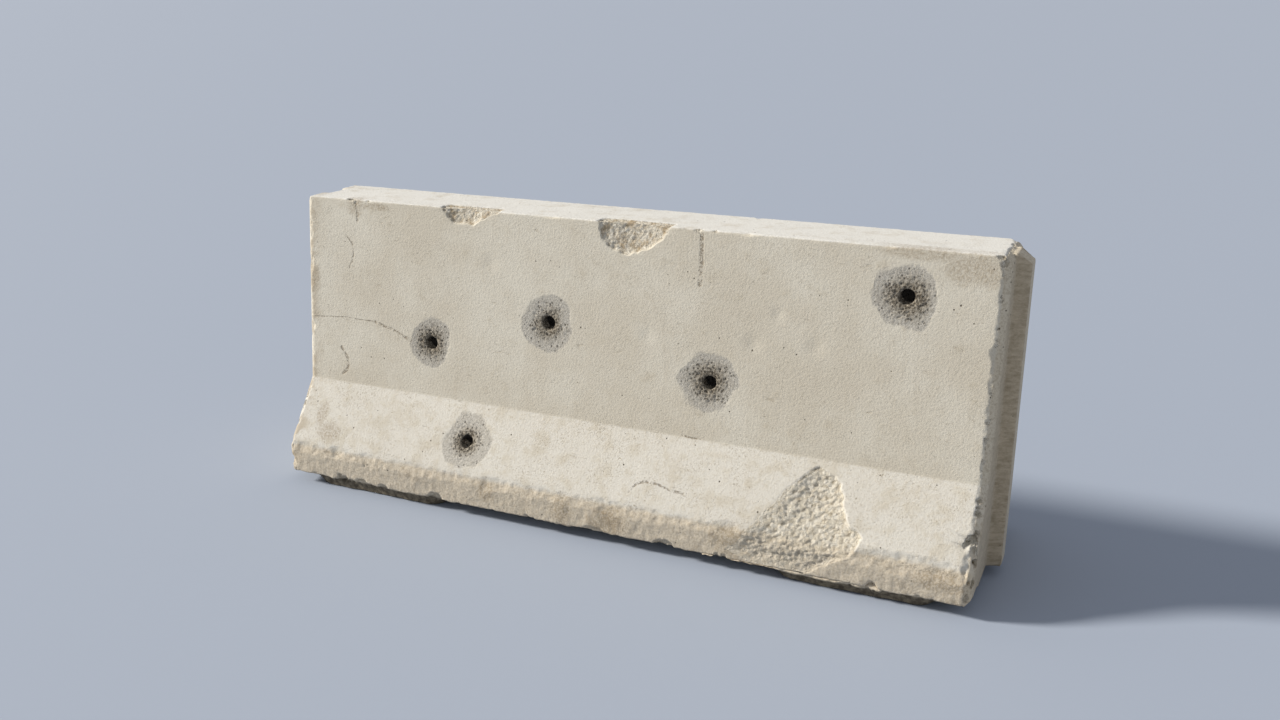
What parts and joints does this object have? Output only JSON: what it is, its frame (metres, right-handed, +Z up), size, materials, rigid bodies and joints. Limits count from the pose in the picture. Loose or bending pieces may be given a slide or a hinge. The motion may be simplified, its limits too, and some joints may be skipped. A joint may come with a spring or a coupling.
{
  "type": "concrete jersey barrier",
  "caption": "Free-standing precast concrete road barrier with sloped sides, a tongue at one end, a groove at the other, and a steel cage cast inside.",
  "frame": {"origin": "on the ground, under the middle of the whole casting including its tongue", "axes": "+X along the barrier towards the tongue, +Y across it towards the undamaged side, +Z up"},
  "size_m": [2.035, 0.57, 0.832],
  "materials": {
    "concrete": "weathered, rough, with broken patches",
    "rebar_steel": "ribbed bar with a thin brown rust",
    "spacer_plastic": "moulded grey plastic"
  },
  "bodies": {
    "root": {"concrete_body": "concrete", "stem_stirrup_1": "rebar_steel", "stem_stirrup_2": "rebar_steel", "stem_stirrup_3": "rebar_steel", "stem_stirrup_4": "rebar_steel", "stem_stirrup_5": "rebar_steel", "stem_stirrup_6": "rebar_steel", "stem_stirrup_7": "rebar_steel", "stem_stirrup_8": "rebar_steel", "stem_stirrup_9": "rebar_steel", "base_link_1": "rebar_steel", "base_link_2": "rebar_steel", "base_link_3": "rebar_steel", "base_link_4": "rebar_steel", "base_link_5": "rebar_steel", "base_link_6": "rebar_steel", "base_link_7": "rebar_steel", "base_link_8": "rebar_steel", "base_link_9": "rebar_steel", "top_bar_front": "rebar_steel", "top_bar_rear": "rebar_steel", "stem_bar_front": "rebar_steel", "stem_bar_rear": "rebar_steel", "waist_bar_front": "rebar_steel", "waist_bar_rear": "rebar_steel", "toe_bar_front": "rebar_steel", "toe_bar_rear": "rebar_steel", "base_bar_front": "rebar_steel", "base_bar_rear": "rebar_steel", "tongue_u_bar_upper": "rebar_steel", "tongue_u_bar_middle": "rebar_steel", "tongue_u_bar_lower": "rebar_steel", "groove_u_bar_upper": "rebar_steel", "groove_u_bar_middle": "rebar_steel", "groove_u_bar_lower": "rebar_steel", "wheel_spacers": "spacer_plastic", "bar_chairs": "spacer_plastic"}
  },
  "joints": []
}
